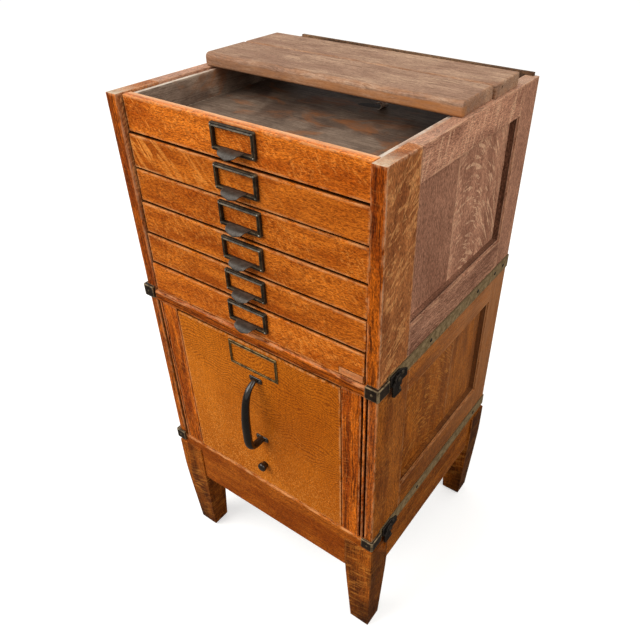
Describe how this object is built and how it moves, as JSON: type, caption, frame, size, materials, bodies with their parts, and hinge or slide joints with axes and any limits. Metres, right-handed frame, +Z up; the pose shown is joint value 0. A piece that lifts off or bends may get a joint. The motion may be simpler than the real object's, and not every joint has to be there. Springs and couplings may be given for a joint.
{
  "type": "sectional filing cabinet",
  "caption": "Sectional oak filing cabinet on tapered legs: flat drawers with label pulls over one deep file drawer, joined by metal strips and latches.",
  "frame": {"origin": "on the floor, below the middle of the cabinet's outermost bounds, which reach from the bow pull to the back legs; the middle of the case is 18 mm behind it", "axes": "+Z up, -Y towards the drawer fronts, +X to the right seen from the front"},
  "size_m": [0.4702, 0.468, 0.945],
  "materials": {
    "case_oak": "varnished",
    "leg_oak": "varnished",
    "panel_oak": "varnished",
    "drawer_oak": "varnished",
    "drawer_inner_wood": "worn",
    "inner_wood": "bare",
    "top_board_oak": "worn",
    "strip_metal": "aged bronze",
    "label_metal": "aged bronze",
    "black_iron": "black enamel",
    "screw_steel": "worn"
  },
  "bodies": {
    "case": {"base_leg_front_left": "leg_oak", "base_leg_front_right": "leg_oak", "base_leg_back_left": "leg_oak", "base_leg_back_right": "leg_oak", "base_rail_front": "case_oak", "base_rail_back": "case_oak", "base_rail_left": "case_oak", "base_rail_right": "case_oak", "lower_side_frame_left": "case_oak", "lower_side_panel_left": "panel_oak", "lower_side_frame_right": "case_oak", "lower_side_panel_right": "panel_oak", "lower_back_panel": "inner_wood", "lower_bottom_frame": "inner_wood", "upper_side_frame_left": "case_oak", "upper_side_panel_left": "panel_oak", "upper_side_frame_right": "case_oak", "upper_side_panel_right": "panel_oak", "upper_back_panel": "inner_wood", "upper_bottom_frame": "inner_wood", "lower_top_frame": "case_oak", "filler_stiles": "case_oak", "file_drawer_runners": "inner_wood", "flat_drawer_runners": "inner_wood", "joint_strip_left": "strip_metal", "joint_strip_right": "strip_metal", "base_strip_left": "strip_metal", "base_strip_right": "strip_metal", "latch_plates": "black_iron", "strip_screws_and_studs": "screw_steel"},
    "flat_drawer_1": {"drawer_1_front": "drawer_oak", "drawer_1_box": "drawer_inner_wood", "drawer_1_label_pull": "label_metal"},
    "flat_drawer_2": {"drawer_2_front": "drawer_oak", "drawer_2_box": "drawer_inner_wood", "drawer_2_label_pull": "label_metal"},
    "flat_drawer_3": {"drawer_3_front": "drawer_oak", "drawer_3_box": "drawer_inner_wood", "drawer_3_label_pull": "label_metal"},
    "flat_drawer_4": {"drawer_4_front": "drawer_oak", "drawer_4_box": "drawer_inner_wood", "drawer_4_label_pull": "label_metal"},
    "flat_drawer_5": {"drawer_5_front": "drawer_oak", "drawer_5_box": "drawer_inner_wood", "drawer_5_label_pull": "label_metal"},
    "flat_drawer_6": {"drawer_6_front": "drawer_oak", "drawer_6_box": "drawer_inner_wood", "drawer_6_label_pull": "label_metal"},
    "file_drawer": {"file_drawer_front": "drawer_oak", "file_drawer_box": "drawer_inner_wood", "file_label_frame": "label_metal", "file_bow_pull": "black_iron"},
    "guide_rod": {"guide_rod": "screw_steel"},
    "follower": {"follower_block": "inner_wood"},
    "upper_latch_left": {"upper_latch_hook_left": "black_iron"},
    "upper_latch_right": {"upper_latch_hook_right": "black_iron"},
    "base_latch_left": {"base_latch_hook_left": "black_iron"},
    "base_latch_right": {"base_latch_hook_right": "black_iron"},
    "front_board": {"front_top_board": "top_board_oak"},
    "back_board": {"back_top_board": "top_board_oak"}
  },
  "joints": [
    {"name": "flat_drawer_1_slide", "type": "slide", "parent": "case", "child": "flat_drawer_1", "axis": [0, -1, 0], "range_m": [0, 0.3]},
    {"name": "flat_drawer_2_slide", "type": "slide", "parent": "case", "child": "flat_drawer_2", "axis": [0, -1, 0], "range_m": [-0.0025, 0.3]},
    {"name": "flat_drawer_3_slide", "type": "slide", "parent": "case", "child": "flat_drawer_3", "axis": [0, -1, 0], "range_m": [-0.0025, 0.3]},
    {"name": "flat_drawer_4_slide", "type": "slide", "parent": "case", "child": "flat_drawer_4", "axis": [0, -1, 0], "range_m": [-0.0045, 0.3]},
    {"name": "flat_drawer_5_slide", "type": "slide", "parent": "case", "child": "flat_drawer_5", "axis": [0, -1, 0], "range_m": [-0.0065, 0.3]},
    {"name": "flat_drawer_6_slide", "type": "slide", "parent": "case", "child": "flat_drawer_6", "axis": [0, -1, 0], "range_m": [-0.009, 0.3]},
    {"name": "file_drawer_slide", "type": "slide", "parent": "case", "child": "file_drawer", "axis": [0, -1, 0], "range_m": [0, 0.33]},
    {"name": "guide_rod_slide", "type": "slide", "parent": "file_drawer", "child": "guide_rod", "axis": [0, -1, 0], "range_m": [0, 0.38]},
    {"name": "follower_slide", "type": "slide", "parent": "file_drawer", "child": "follower", "axis": [0, -1, 0], "range_m": [0, 0.3]},
    {"name": "upper_latch_left_hinge", "type": "hinge", "parent": "case", "child": "upper_latch_left", "pos_m": [-0.2317, -0.155, 0.614], "axis": [1, 0, 0], "range_deg": [-80, 0]},
    {"name": "upper_latch_right_hinge", "type": "hinge", "parent": "case", "child": "upper_latch_right", "pos_m": [0.2317, -0.155, 0.614], "axis": [1, 0, 0], "range_deg": [-80, 0]},
    {"name": "base_latch_left_hinge", "type": "hinge", "parent": "case", "child": "base_latch_left", "pos_m": [-0.2317, -0.152, 0.2772], "axis": [1, 0, 0], "range_deg": [-80, 0]},
    {"name": "base_latch_right_hinge", "type": "hinge", "parent": "case", "child": "base_latch_right", "pos_m": [0.2317, -0.152, 0.2772], "axis": [1, 0, 0], "range_deg": [-80, 0]},
    {"name": "front_board_slide", "type": "slide", "parent": "case", "child": "front_board", "axis": [0, -1, 0], "range_m": [0, 0.17]},
    {"name": "back_board_slide", "type": "slide", "parent": "case", "child": "back_board", "axis": [0, 1, 0], "range_m": [0, 0.06]}
  ]
}
